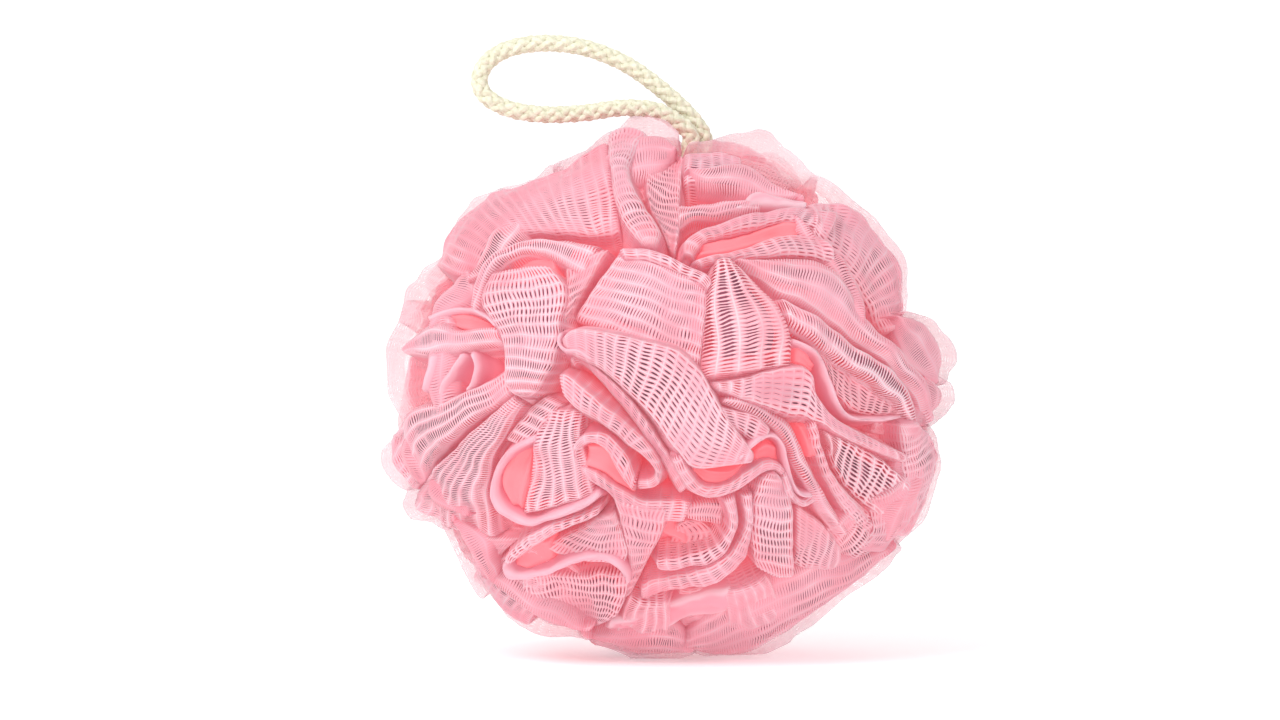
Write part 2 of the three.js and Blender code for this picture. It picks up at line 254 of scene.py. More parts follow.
def fold_grid(edge_a, edge_b, steps, wall, roll, crown):
    """The surface of one fold between its two edges, with walls that go in towards the core."""
    path_a, run_a = smooth_path(edge_a)
    path_b, run_b = smooth_path(edge_b)
    length = (run_a[-1] + run_b[-1]) / 2
    total = length + (math.pi - 2) * roll
    top_count = max(2, round(total / steps[0]))
    wall_count = round(wall / steps[0])
    run = total * np.arange(-wall_count, top_count + wall_count + 1) / top_count
    along, end_drop = rounded(run, length, roll)
    share = np.clip(along / length, 0, 1)
    a = along_path(path_a, run_a, share * run_a[-1])
    b = along_path(path_b, run_b, share * run_b[-1])
    on_top = slice(wall_count, wall_count + top_count + 1)
    ahead = unit(np.gradient(((a + b) / 2)[on_top], axis=0))
    ahead = np.pad(ahead, ((wall_count, wall_count), (0, 0)), mode="edge")

    gap = np.maximum(np.linalg.norm(b - a, axis=1), NARROWEST)[:, None]
    side_roll = np.minimum(roll, 0.45 * gap)
    side_total = gap + (math.pi - 2) * side_roll
    top_count = max(3, round(side_total.mean() / steps[1]))
    wall_count = round(wall / steps[1])
    k = np.arange(-wall_count, top_count + wall_count + 1)
    top_k = np.clip(k, 0, top_count)
    side_run = top_k / top_count * side_total + (k - top_k) * steps[1]
    across, side_drop = rounded(side_run, gap, side_roll)
    t = np.clip(across / gap, 0, 1)

    base = a[:, None] * (1 - t[..., None]) + b[:, None] * t[..., None]
    base += (unit(b - a)[:, None]) * (across - t * gap)[..., None]
    base += (ahead * (along - share * length)[:, None])[:, None]
    drop = end_drop[:, None] + side_drop
    inset = np.minimum(np.minimum(across, gap - across), np.minimum(along, length - along)[:, None])
    rise = crown * 4 * t * (1 - t) + LIP * np.exp(-((inset - LIP_INSET) ** 2)) - drop
    return base + outward(base) * rise[..., None], drop, inset


def middle_part(drop):
    """The middle of the stretch where the fold is on top, every second point of it."""
    top = np.flatnonzero(drop < ON_TOP)
    margin = len(top) // 8
    return slice(top[margin], top[-1 - margin] + 1, 2)


# The second of these, the under layer, is dark as painted shade; the third, for the pockets, has painted
# coral shade and a painted glow.
NET, UNDER_SHADE, INNER_GLOW, THIN = range(4)  # the netting's materials, in the order each mesh holds them


class Fold:
    """One visible fold of netting: two edges, and how it is made.

    slits: whether they run along the fold or across it. gape: how open they are, from 0 to 1. roll: the
    radius of its rounded edges. crown: how far its middle stands out. wall: how far its sides go in.
    kind: its material. coarse: how far the netting is stretched. tone: above 0 a painted highlight over
    its top, below 0 painted coral shade and glow all over it. highlight: how strong the painted highlight
    on its
    edges is. crinkle: how much small unevenness it has.
    """

    USUAL = dict(slits="along", gape=0.45, roll=1.1, crown=0.8, wall=WALL, kind=NET)
    USUAL.update(coarse=1, tone=0, pale=1, crinkle=1)

    def __init__(self, edge_a, edge_b, **how):
        self.edges = (np.asarray(edge_a, float), np.asarray(edge_b, float))
        self.how = {**self.USUAL, **how}

    def moved(self, matrix):
        return Fold(*(edge @ matrix.T for edge in self.edges), **self.how)

    def centre(self):
        return np.concatenate(self.edges).mean(axis=0)

    def surface(self, seed):
        """The fold as an uneven grid of points, with the slits along its first axis. For each point, also
        how far it is below the top, how far inside the edges, and whether it faces outwards (above 0)."""
        how = self.how
        pitch = np.array([SLIT_PITCH / ROWS, STRAND_PITCH]) * how["coarse"]
        lengthways = how["slits"] == "along"
        steps = pitch if lengthways else pitch[::-1]
        grid, drop, inset = fold_grid(*self.edges, steps, how["wall"], how["roll"], how["crown"])
        if not lengthways:
            grid, drop, inset = grid.transpose(1, 0, 2), drop.T, inset.T
        bumps = ripple(grid, *BUMPS, seed) + how["crinkle"] * ripple(grid, *CRINKLES, seed + 1)
        grid = grid + outward(grid) * bumps[..., None]
        for axis, pull in enumerate(PULLS):
            way = unit(np.gradient(grid, axis=axis))
            grid = grid + way * ripple(grid, *pull, seed + 4 + axis)[..., None]
        grid *= np.maximum(1, INNERMOST / np.linalg.norm(grid, axis=-1, keepdims=True))
        grid[..., 2] = np.maximum(grid[..., 2], FLOOR + OFF_FLOOR)
        facing = np.sum(grid_normals(grid) * outward(grid), axis=-1)
        if facing[drop < 1].mean() < 0:
            return grid[:, ::-1], drop[:, ::-1], inset[:, ::-1], -facing[:, ::-1]
        return grid, drop, inset, facing

    def tints(self, grid, drop, inset):
        """A painted highlight at the edges, painted mauve shade between half a millimetre and five down,
        and painted coral shade with a painted glow further down.
        """
        tone = self.how["tone"]
        if self.how["kind"] == INNER_GLOW:
            return np.full(grid.shape, (0.0, 0.0, 1.0))
        below = BALL[2] * (1 - np.linalg.norm(grid / BALL, axis=-1))
        edge = self.how["pale"] * np.exp(-((inset / HIGHLIGHT_RIM) ** 2) - (drop / HIGHLIGHT_RIM) ** 2)
        edge = np.maximum(edge, tone * np.exp(-drop / HIGHLIGHT_DEPTH))
        crease_shade = np.clip(drop * 2 - 1, 0, 1) * np.clip(2 - drop / 2.5, 0, 1)
        painted_deep = np.clip(np.maximum((drop - 3) / 6, (below - 3) / 14), max(0, -tone), 1)
        return np.stack([edge, crease_shade, painted_deep], -1)

    def lay(self, sheets, seed):
        """Adds the fold to a mesh. The seed decides how it is uneven."""
        how = self.how
        grid, drop, inset, facing = self.surface(seed)

        def opening(points):
            """Slits gape more in some places than in others. They close between a tenth and a quarter of
            the way in to the ball's centre."""
            depth = 1 - np.linalg.norm(points / BALL, axis=-1)
            shut = np.clip(1.8 - depth * 7, 0, 1)
            uneven = MORE_GAPE + ripple(points, *GAPES, seed + 2) + ripple(points, *SMALL_GAPES, seed + 3)
            gape = np.clip(how["gape"] + uneven, 0, WIDEST_GAPE)
            width = CLOSED_SLIT + (OPEN_SLIT - CLOSED_SLIT) * gape * shut * how["coarse"] ** 1.5
            return np.where((shut > 0.1) & (how["gape"] > 0), width, 0)

        net(sheets, grid, opening, how["kind"], self.tints(grid, drop, inset))
        # A sheet just under the middle of the fold stands for its second layer, coloured dark as painted
        # shade that shows through the slits.
        if how["kind"] == NET and how["gape"] > 0:
            inward = -grid_normals(grid) * np.where(facing < 0, -1, 1)[..., None]
            rows, columns = middle_part(drop.min(axis=1)), middle_part(drop.min(axis=0))
            sheets.add_grid((grid + inward)[rows, columns], UNDER_SHADE)


def as_seen(points, depth):
    """(x, z) pairs as they project from the camera onto the plane through the ball's centre, set on the
    front of the ball and `depth` behind its surface."""
    flat = np.asarray(points, float)
    high = 1 - (flat[:, 0] / BALL[0]) ** 2 - (flat[:, 1] / BALL[2]) ** 2
    y = depth - BALL[1] * np.sqrt(np.clip(high, 0, 1))
    nearer = (1 - y / CAMERA_AT[1])[:, None]
    centre = CAMERA_AT[[0, 2]]
    placed = centre + (flat - centre) * nearer
    return np.column_stack([placed[:, 0], y, placed[:, 1]])


def face(edge_a, edge_b, depth=(0, 0, 0, 0), **how):
    """depth is how far behind the ball's surface the edges are: a's start and end, b's start and end."""
    a = as_seen(edge_a, np.linspace(depth[0], depth[1], len(edge_a)))
    b = as_seen(edge_b, np.linspace(depth[2], depth[3], len(edge_b)))
    return Fold(a, b, **how)


def lip(line, depth=(1, 1), width=1.1):
    """A thin rolled edge along a line."""
    line = np.asarray(line, float)
    way = np.gradient(line, axis=0)
    aside = unit(np.column_stack([-way[:, 1], way[:, 0]])) * width / 2
    return face(line + aside, line - aside, depth * 2, roll=0.6, gape=0, wall=9, pale=0.45)


def pocket(edge_a, edge_b, depth):
    """The bare inside of a fold, where it gapes."""
    # drawn in coral with a painted glow, and painted coral shade over all of it
    return face(edge_a, edge_b, (depth,) * 4, kind=INNER_GLOW, gape=0, roll=0.8, crown=-1.5, wall=3)


# Folds of the front, as x and z of their two edges and how far these are behind the ball's surface.
CENTRE_FOLDS = [
    # the broad face across the middle, with its rolled left end
    face([(-28, 14), (-24, 16.8), (-15, 15.6), (-5, 13.4), (3, 11), (8, 6.5), (12, 0), (16, -7),
          (22.5, -16)],
         [(-27.5, 11.5), (-24, 9), (-18, 6), (-12, 1), (-6, -5), (-2, -10.5), (2, -16), (8, -20),
          (22, -18.5)], (0, -1, 1, 1), gape=0.6),
    lip([(-28, 15.5), (-28.6, 13), (-27, 11), (-23.5, 10.8), (-20, 8.5)], (0, 1), 1.2),
    pocket([(-27, 15), (-24, 14), (-21, 11)], [(-27.6, 12.5), (-25, 11.3), (-22, 10.5)], 1.5),
    # the narrow ribbon under it
    face([(-26.5, 9), (-24.5, 11), (-21, 8.5), (-12, 1), (-5, -8), (1, -17), (6, -24)],
         [(-25, 6), (-23, 7), (-20, 5), (-12, -4), (-6, -12), (-1, -20), (3, -27)],
         (3, 3, 5, 5), roll=1.5, gape=0.3),
    # the S-shaped ribbon: its face, its turn at the bottom, and its way back up to the second loop
    face([(-29, 5), (-26, 4.5), (-20, -0.5), (-12, -7), (-5, -14), (-1.5, -20), (-3, -25), (-8, -26)],
         [(-27.5, -1), (-24, -4.5), (-18, -8), (-12, -13), (-6, -17.5), (-3.5, -21), (-5, -23), (-8, -23)],
         (1, 2, 1, 2), gape=0.5),
    face([(-9, -26.5), (-13, -21), (-16, -16), (-20, -13.5), (-24, -16), (-23.5, -20)],
         [(-8, -23), (-10.5, -17), (-15, -11.5), (-20.5, -10.5), (-24.5, -13), (-25, -18)],
         (2, 2, 2, 2), roll=1.4, gape=0.25),
    face([(-23.5, -19), (-18, -21.5), (-13, -25), (-8, -28), (-2, -28.5), (6, -29)],
         [(-21, -22.5), (-16, -26), (-12, -30), (-8, -33), (-2, -34), (4, -34)], (2, 3, 3, 5), gape=0.2),
    pocket([(-21, -14), (-15, -14.5), (-11, -20), (-9, -25)],
           [(-22, -19), (-17, -21), (-13, -24), (-9, -26.5)], 3),
    pocket([(5, -16), (10, -20.5), (16, -21), (21, -18)],
           [(6, -20), (10, -23.5), (15, -23.6), (20, -20.5)], 3),
    # the folded upper lip of the face above, and that face
    face([(-13, 38), (-5, 37.3), (3, 34.3), (10, 31.2), (12, 28.5)],
         [(-12, 35.5), (-5, 34.2), (2, 31.6), (8, 28.4), (10.5, 26.3)], roll=1.4, gape=0.3),
    face([(-13, 36.5), (-17, 31), (-21, 25), (-25, 19)],
         [(11, 28), (10.2, 20), (9.3, 13), (8.5, 6)], (2, 6, 2, 3), gape=0.55, crown=2.0),
    # the pointed face to its right, with wide slits across it
    face([(12, 34), (10.8, 27), (10, 20), (9.5, 12), (9, 3.5)],
         [(16.5, 33.8), (22, 30), (28.5, 22.5), (32.5, 15), (32.5, 7)],
         (0, 1, 1, 2), slits="across", gape=0.8, crown=2.5, coarse=1.35, tone=-0.2),
]

UPPER_FOLDS = [
    # the long loop at the upper right: its rolled top, its opening and its lower lip
    pocket([(9, 38.6), (20, 41.6), (30, 44.4), (35, 44)],
           [(8, 36), (15, 36.7), (25, 39.8), (34.5, 42.2)], 1.5),
    face([(4, 36), (4.5, 39.5), (9, 43), (18, 46), (27, 47.8), (36, 48.6), (45, 47)],
         [(6.5, 35), (9, 38.6), (14, 40.6), (22, 42.6), (30, 44.3), (36, 43.5), (42, 40)],
         (0, 1, 1, 2), gape=0.1, roll=2.2),
    face([(6, 34), (10, 35), (18, 37.5), (26, 40), (34, 42), (41, 40)],
         [(8, 32.5), (14, 33.5), (22, 34.8), (30, 35.3), (37, 35.2), (44, 33)],
         (2, 2, 2, 3), gape=0.4, roll=1.3),
    # strips above it, towards the cord
    face([(2.5, 49.3), (10, 49.8), (18, 50), (25, 50.5)],
         [(2.5, 42), (8, 45), (17, 46), (24, 46.5)], (3, 3, 4, 5), slits="across", gape=0.6),
    face([(17, 48), (20, 50.5), (22.5, 52.6), (27, 51.4), (36, 49)],
         [(19, 47.5), (22, 48.5), (24, 49), (28, 48.8), (36, 47.5)], (3, 4, 3, 3), gape=0),
    face([(4, 62), (8, 62.5), (13, 62), (19, 61)],
         [(4.5, 54.8), (9, 54.9), (14, 55.4), (19, 56.5)], (4, 4, 4, 6), gape=0.15, crown=1.5),
    # the flute that opens upwards, left of the cord, and the netting that fans up from its foot
    face([(-16, 67), (-15.5, 59), (-14.5, 52), (-12, 45), (-9.3, 40.5), (-6, 37.5)],
         [(-5.2, 68), (-9.7, 60.2), (-9.3, 54.7), (-7, 50.2), (-3.4, 45.2), (-1.8, 41), (-3, 37.5)],
         (3, 1, 2, 0), gape=0.1, crown=2.0),
    face([(-6, 67), (-6, 58), (-5.5, 51), (-3, 45), (0, 38)],
         [(4.5, 62), (3.5, 55), (3, 48), (3, 42), (2, 36)], (6, 5, 4, 3), gape=0.5, crown=-1.0),
    # the broad hood at the upper left
    face([(-60, 32), (-56, 43), (-48, 50.5), (-38, 54), (-27, 59), (-16, 66)],
         [(-51, 28.5), (-46, 36), (-40, 40.8), (-31, 41.5), (-21, 40.8), (-12, 41.5)],
         (4, 2, 4, 5), gape=0.12, crown=3.5, tone=-0.15, pale=0.5),
    # the arched lip over the upright band, its opening, and the dark slits at its right
    face([(-52, 22), (-49.5, 31), (-43.7, 37.1), (-36, 40.4), (-28, 39.8), (-18, 38.2)],
         [(-50, 21), (-47.8, 28.5), (-43, 33.8), (-36.5, 36.6), (-30, 34.5), (-22.5, 30.5)],
         (1, 2, 1, 3), slits="across", gape=0.75),
    pocket([(-44, 34.5), (-36.6, 37.4), (-30, 34.5)], [(-42, 31.5), (-35, 32), (-29, 30.5)], 4),
    face([(-27, 33), (-27, 22), (-29, 12), (-33.5, 1)],
         [(-15, 37), (-21.5, 27), (-26.5, 17), (-31, 4)], (4, 5, 4, 6), gape=0.1, tone=-0.3),
    # the upright band
    face([(-46, 31), (-49, 23.5), (-46, 18.5), (-43.3, 13), (-42.5, 7), (-42, 2), (-39.5, -0.8)],
         [(-31, 33), (-26.5, 27), (-28, 19.5), (-28.7, 13), (-31, 6), (-33.5, 1), (-36, -1.2)],
         (3, 0, 2, 0), gape=0.6, crown=2.0),
    # the broad smooth shoulder at the upper right
    face([(36, 49), (45, 49), (53, 43), (59, 34), (61, 25), (61, 17)],
         [(37, 41), (39, 36.5), (44, 33), (49, 27), (52.5, 21), (56, 15)],
         (5, 7, 5, 9), gape=0.1, crown=2.5),
]

RIGHT_FOLDS = [
    # the broad band that runs down to the right, and the ladder of open netting along its lower side
    face([(17, 34.3), (27, 35.2), (38, 34.6), (44, 31), (49, 24), (54, 16.5), (61, 10), (67, 3), (69, -6)],
         [(18, 32.5), (24, 29.5), (30, 24.5), (38, 20.5), (47, 14.5), (55, 8.5), (61, 3), (64.5, -3),
          (66, -9)], (2, 3, 3, 4), slits="across", gape=0.35, crown=2.5),
    face([(29.5, 25), (39.8, 18.9), (48.5, 12.8), (57.2, 6.7), (62.4, 0.6), (65, -8)],
         [(31.5, 18), (39.8, 11.9), (46.7, 6.7), (53.7, 1.5), (59, -2.9), (62.4, -8.5)],
         (2, 3, 1, 3), slits="across", gape=1.1, crown=1.5, coarse=1.25),
    # the face under it with its lip, and the opening beside the pointed face
    face([(35, 14), (41, 10.5), (48, 5), (55, -0.5), (61, -5)],
         [(41, 8), (43, 1.5), (45.5, -3), (51, -6), (60, -6)], (6, 6, 4, 5), gape=0.9, tone=-0.35),
    lip([(32, 13.7), (36, 11.6), (39.8, 8.9), (42, 3.2), (44, -2.9), (47.6, -6.6), (55.4, -7.2),
         (61.5, -6.4)],
        (3, 3)),
    pocket([(33, 12.5), (36, 10.5), (39, 7)], [(33, 8), (35.5, 7.2), (38.5, 6)], 4),
    # the smooth fold that lies against the rim
    face([(63, -7), (69, -12), (70.5, -20), (67, -30), (62, -38)],
         [(60, -8), (61, -15), (61.5, -22), (60, -29), (56, -36)], (2, 4, 3, 4), gape=0.05, crown=2.0),
    # the triangular face and the band that it becomes
    face([(11, 2.6), (18, 3.4), (25, 5.6), (32.8, 6.9), (37.6, 5.8), (39, -0.3), (43, -6.3), (52, -11.2),
          (61.5, -16)],
         [(12, 0.5), (17, -1), (22.4, -2.9), (31, -6.3), (36, -7), (40, -8.5), (45, -11.6), (53.7, -15.4),
          (61.5, -18.5)], (1, 2, 1, 2), gape=0.35),
    # the ladder of open netting that curves down below it, and the pale face left of that
    face([(15, -0.8), (19.8, -1.4), (31, -7.4), (35, -14.2), (39, -22.9), (44, -31.6), (48, -37)],
         [(14, -3), (18, -4.5), (26.7, -9.3), (31, -15), (34.6, -22.9), (39, -30.7), (44, -38)],
         (3, 3, 2, 3), slits="across", gape=0.95),
    face([(12.5, -3.5), (17, -4.6), (22.5, -5.8), (27, -9.5)],
         [(15.5, -9), (19, -11), (22.5, -13), (25, -12.8)], (1, 2, 2, 2), gape=0.5),
    # the opening and the inner rib, and the stretched open netting beside it
    pocket([(34.5, -8.5), (36, -12), (37.5, -17)], [(37, -8), (38, -12), (38.7, -17)], 4),
    face([(38.5, -6.5), (40.5, -14), (44.5, -23), (50.5, -30.5), (58, -38)],
         [(36.5, -8), (38.5, -16), (42, -25), (47, -33), (55, -41)], (3, 4, 3, 4), gape=0.1),
    face([(40, -9.5), (48, -13), (56, -17.5), (63, -24)],
         [(41.5, -15), (45, -23), (50.5, -29), (58, -35)], (3, 3, 5, 6), gape=1.1, coarse=1.3),
    face([(62, -21), (65, -28), (62, -35), (56, -41)],
         [(52, -28), (53, -33), (52, -37), (49, -41)], (3, 3, 7, 6), gape=0.1, crown=2.0),
    # the looped lip in the middle of the right half: its upright ends
    face([(31, -20), (32.5, -25), (35.5, -28.3), (38.5, -27)],
         [(29.2, -20.5), (30.5, -27), (35.5, -30.5), (39.5, -28.5)], (2, 2, 2, 2), roll=1.0, gape=0.1),
]

LOWER_FOLDS = [
    # the long U-shaped lip below the centre
    face([(3.5, -16), (6.5, -21.5), (9, -24.2), (12.5, -25), (17, -23.4), (22, -19.6), (27, -17.8),
          (31.5, -20)],
         [(0.5, -17), (3.5, -23.5), (7, -27), (12.5, -28), (18, -26.3), (23, -22.3), (27, -20.8),
          (30, -22.5)], (1, 1, 1, 1), roll=1.4, gape=0.2),
    lip([(18.5, -17.8), (21.8, -14.2), (24.3, -12.2), (27.7, -11.5), (29.8, -13.8), (30.8, -18.5),
         (32.2, -23), (34.5, -26.5), (37.5, -26.8)], (0, 2)),
    pocket([(23.5, -15), (26, -13.6), (28.5, -14.5)], [(22, -19), (26.5, -18.3), (30, -20)], 3),
    # the upright petal
    face([(23, -46), (21.8, -38), (22, -30), (23.5, -24), (26, -21)],
         [(32.8, -48), (32.8, -40), (32.6, -32), (31.5, -25), (28.5, -21)],
         (3, 1, 3, 1), gape=0.55, crown=2.0),
    face([(33, -29), (36, -31), (41, -35), (45, -41)],
         [(32.5, -45), (35, -46), (39, -46.5), (44, -46)], (5, 6, 5, 6), gape=0.5, crown=1.0),
    pocket([(-2, -27), (3, -27), (6, -29)], [(-3, -36), (1, -38), (5, -40)], 8),
    # nested arcs left of it
    face([(14, -27.5), (15.8, -34), (12.5, -40.5), (5, -43.5), (-3, -44)],
         [(17.5, -26.5), (18.3, -35), (14, -43.3), (5, -46.5), (-3, -47)],
         (3, 3, 3, 4), roll=1.3, gape=0.3),
    face([(19, -27), (20.2, -34), (17.3, -41), (10, -46), (0, -49), (-7, -50.5)],
         [(22, -26), (22, -36), (20.5, -44), (12, -49.7), (0, -53), (-7, -54.5)],
         (2, 3, 2, 4), roll=1.5, gape=0.35),
    face([(3, -33), (8, -33.5), (12.5, -37), (9, -41), (3, -43)],
         [(2, -34), (1, -37), (0, -40), (-1, -42), (-2, -44)], (9, 8, 9, 9), gape=0.6),
    face([(4, -29), (9, -28), (15, -28)],
         [(4.5, -33), (9, -34), (14, -35)], (6, 6, 7, 7), slits="across", gape=0.7, roll=1.0),
    # broad smooth faces between the nested arcs and the bowl
    face([(-14.5, -27.5), (-12.3, -36), (-10.6, -45), (-12, -54)],
         [(0, -30), (-1.5, -37), (-5, -44), (-9, -52)], (3, 4, 4, 5), gape=0.1, crown=1.0),
    face([(25, -48), (14, -51.5), (2, -55), (-8, -58), (-15, -59)],
         [(28, -53), (15, -57), (3, -60), (-8, -62), (-17, -62)], (5, 5, 7, 7), gape=0, crown=0.8),
]

LEFT_FOLDS = [
    # the small loop at the far left: its face, its lip and the opening between them
    face([(-69, 12), (-66, 15.5), (-61, 18.5), (-57.5, 18.3), (-55, 16.5), (-50, 16.5), (-44.5, 17)],
         [(-69, 9.8), (-64, 9.5), (-60, 9.6), (-56, 10), (-53, 10.7), (-48, 11.4), (-42.5, 12)],
         (1, 2, 2, 3), slits="across", gape=0.85, crown=1.0),
    lip([(-62, 19), (-56.6, 21.2), (-51.6, 21.4), (-47.3, 19.6), (-44, 16.8)], (1, 3)),
    pocket([(-57, 20), (-51.8, 20.2), (-47, 18)], [(-56, 17.5), (-51.5, 16), (-46, 16.5)], 3),
    # the ribs in the opening below it
    lip([(-50.5, 10.5), (-49.8, 6.5), (-51, 2.5), (-52.5, 0)], (4, 4)),
    lip([(-53.5, 10), (-56, 6.5), (-58.5, 2), (-59.5, -1)], (3, 3)),
    lip([(-60.5, 9.5), (-61.5, 5), (-63, 0)], (2, 2)),
    # two fans that spread to the lower left
    face([(-42, 6), (-49, 2), (-59, -2), (-67, -4.5), (-72, -12)],
         [(-40, -1), (-46, -5), (-54, -11), (-61, -18), (-66, -26)],
         (4, 2, 4, 2), slits="across", gape=0.8, crown=2.0),
    face([(-40, -0.5), (-47, -6.5), (-55, -13.5), (-62, -21), (-67, -30)],
         [(-37.5, -3), (-42, -10), (-46, -19), (-47.5, -28), (-45, -38)],
         (3, 2, 3, 3), slits="across", gape=0.95, crown=2.0),
    face([(-31, -0.5), (-37, -5), (-43, -12.5)],
         [(-26.5, -3), (-32, -9), (-37, -14.5)], (5, 4, 5, 4), gape=0.75),
    # the crescent lip, the opening inside it and the striped face
    lip([(-35, -12), (-41, -15.6), (-44.8, -21.5), (-45, -28), (-41, -32.8), (-36, -34.5), (-30, -32.5),
         (-22, -29.5), (-18, -26.5)], (2, 1), 1.7),
    pocket([(-37, -14), (-41.5, -18), (-43.2, -24), (-41, -30)],
           [(-36.5, -16), (-37, -22), (-38, -27), (-38.5, -31)], 3),
    face([(-33, -4.5), (-35, -13), (-36.5, -22), (-38, -32)],
         [(-22.5, -4.5), (-22.5, -14), (-20, -22), (-18.5, -27)],
         (4, 4, 3, 3), slits="across", gape=0.75, crown=1.5),
    face([(-43, -43.5), (-38, -38.5), (-30, -34), (-22, -31.5), (-17.5, -29)],
         [(-41, -45), (-36, -41), (-29, -36.8), (-22, -34), (-17.8, -31.8)], (1, 2, 1, 2), gape=0.5),
    # the bowl at the lower left: its upper face, opening, lip and striped inside
    face([(-17.5, -31.5), (-24, -36), (-30, -39), (-33, -41)],
         [(-14, -31), (-12, -36), (-10.5, -41), (-11, -45)], (4, 6, 3, 3), gape=0.25, crown=2.0),
    pocket([(-40.5, -43), (-36, -40), (-31, -39)], [(-40, -45), (-35, -46), (-30, -44)], 4),
    lip([(-42.5, -44.5), (-42, -46.5), (-38, -48), (-32, -47), (-26, -44.2), (-20, -43), (-14, -44),
         (-11, -47),
         (-10.5, -50)], (1, 2), 1.4),
    face([(-39, -48.5), (-37.5, -54), (-32, -59.5), (-25, -62)],
         [(-10.3, -47), (-10.6, -52.5), (-14, -59), (-20, -62)], (4, 2, 3, 2), gape=0.85, crown=-1.0),
    face([(-49, -37), (-52, -42), (-49, -49), (-43, -56), (-36, -61)],
         [(-38, -38), (-44, -43), (-45, -49), (-40, -53), (-34, -57)], (5, 6, 6, 7), gape=0.4, crown=1.5),
]


# The petals round the rim, clockwise from the top: each one's outer and inner edge, and how much is sheer.
RIM = [
    ([(-30, 59), (-22, 63.5), (-15, 69), (-8, 72), (-1, 71), (3, 67)],
     [(-26, 50), (-20, 52), (-13, 55), (-9, 57), (-3, 58), (1, 58)], 0.05),
    ([(5, 65), (12, 66), (20, 68.3), (26, 67.3), (33, 61.5), (40, 56)],
     [(4, 56), (10, 57), (17, 57), (23, 56), (29, 53), (35, 50)], 0.1),
    ([(38, 57), (45, 53), (52, 47.5), (58, 41), (62, 34), (63.5, 26), (62, 20)],
     [(33, 50), (38, 47), (43, 43), (47, 38), (50, 32), (51, 26), (52, 20)], 0.17),
    ([(60, 21), (68, 20), (73, 15), (74.5, 8), (72, 2)],
     [(56, 16), (60, 13), (62, 9), (63, 5), (63, 1)], 0.02),
    ([(70, 5), (74.5, 1), (74.5, -3), (71, -7), (68, -9)],
     [(62, 1), (64, -2), (63, -5), (61, -8), (60, -10)], 0.03),
    ([(67, -6), (71, -13), (71.5, -20), (69.5, -27), (66, -34), (60, -41)],
     [(60, -9), (61, -14), (60, -20), (58, -26), (54, -32), (50, -37)], 0.04),
    ([(61, -40), (54, -48), (46, -54.5), (38, -60.5), (30, -66), (21, -70), (12, -71), (4, -68)],
     [(55, -38), (46, -41), (38, -44), (31, -46), (25, -48), (18, -51), (12, -54), (5, -57)], 0.01),
    ([(8, -69.5), (0, -71), (-8, -70.3), (-17, -67), (-24, -63)],
     [(3, -57), (-2, -58), (-8, -59.5), (-14, -61), (-19, -61)], 0.01),
    ([(-20, -64.5), (-28, -64.3), (-37, -62), (-45, -56), (-51, -48)],
     [(-20, -59), (-27, -57.5), (-34, -54.5), (-40, -49.5), (-46, -44)], 0.04),
    ([(-48, -54), (-54, -46), (-58, -38), (-60, -33)],
     [(-42, -44), (-46, -41), (-49, -37), (-52, -33)], 0.05),
    ([(-57, -36), (-65, -34), (-69, -30), (-68.5, -25)],
     [(-51, -30), (-55, -28), (-58, -25), (-59, -21)], 0.08),
    ([(-68, -26), (-73, -22), (-75, -17), (-73, -12), (-69, -10)],
     [(-60, -22), (-62, -20), (-63, -17), (-62, -13), (-61, -9)], 0.05),
    ([(-68.5, -10), (-73, -2), (-74, 6), (-73, 13), (-70, 20), (-68, 24)],
     [(-60, -8), (-61, -2), (-61, 5), (-59, 12), (-57, 18), (-55, 23)], 0.12),
    ([(-70, 18), (-68.8, 27), (-64, 32), (-59, 36)],
     [(-58, 15), (-56, 22), (-51, 27), (-47, 31)], 0.1),
    ([(-61, 33), (-57, 40), (-54, 47), (-51, 51.5), (-43, 53.5)],
     [(-50, 28), (-46, 33), (-44, 38), (-40, 42), (-35, 44)], 0.12),
    ([(-46, 52.5), (-39, 54.5), (-35, 57), (-31, 60.5), (-27, 59)],
     [(-37, 43), (-31, 45), (-27, 47), (-23, 49), (-19, 50)], 0.03),
]


def rim_folds():
    """The petals of the rim: each is a full fold, with a thin veil that reaches out from behind it."""
    veil = dict(kind=THIN, gape=0.05, roll=1.2, crown=0.5, wall=5.0, crinkle=0.2)
    full = dict(gape=0.02, roll=2.5, crown=2.5, tone=-0.1, crinkle=0.3, pale=0.6, slits="across")
    taper = 0.6  # how far a petal narrows towards its ends
    shrunk = 0.98  # the full fold, as a share of the veil's reach
    found = []
    for outer, inner, sheer in RIM:
        outer, inner = np.array(outer, float), np.array(inner, float)
        inner += (outer - inner) * taper * np.linspace(-1, 1, len(inner))[:, None] ** 4
        found.append(face(outer, (outer + inner) / 2, (1, 1, 7, 7), **veil))
        found.append(face(outer * (shrunk - sheer), inner * (1 - sheer), (2, 3, 7, 8), **full))
    return found


